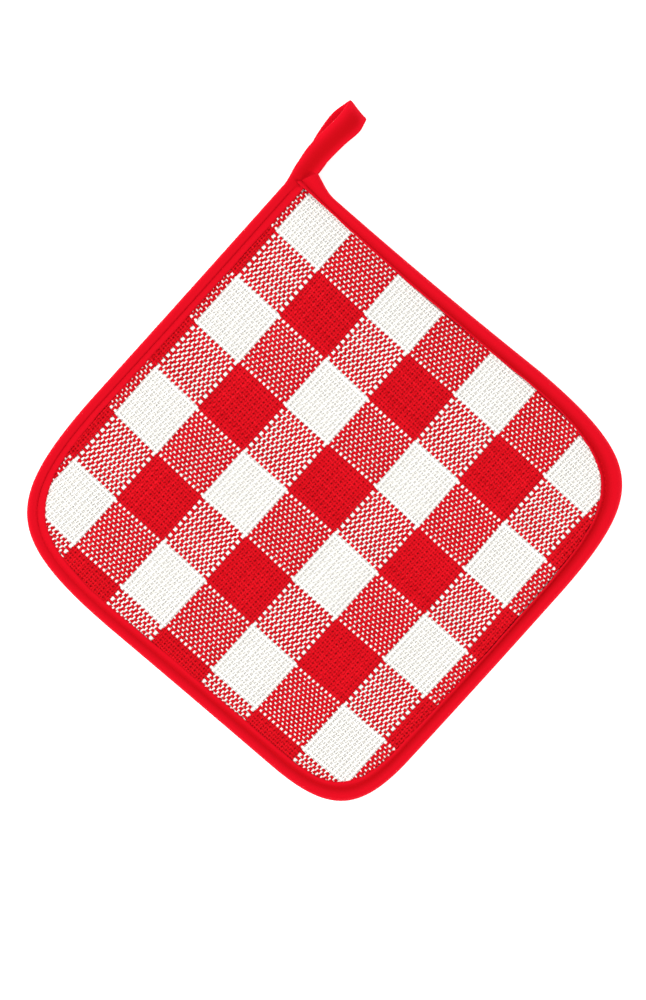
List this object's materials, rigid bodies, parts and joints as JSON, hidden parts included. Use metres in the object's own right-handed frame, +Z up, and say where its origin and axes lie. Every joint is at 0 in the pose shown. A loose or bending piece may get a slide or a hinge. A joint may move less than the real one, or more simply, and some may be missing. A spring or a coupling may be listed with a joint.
{
  "type": "pot holder",
  "caption": "Square padded pot holder of checked cotton with a bound edge, rounded corners and a tape loop at one corner to hang it on a hook.",
  "frame": {"origin": "middle of the pad, on the back that it lies on", "axes": "+Z up from the table through the face, +Y from the middle towards the corner with the loop, +X to the right seen from above"},
  "size_m": [0.2529, 0.298, 0.0098],
  "materials": {
    "check_cloth": "matte",
    "red_tape": "matte"
  },
  "bodies": {
    "root": {"pad": "check_cloth", "binding": "red_tape", "hanging_loop": "red_tape"}
  },
  "joints": []
}
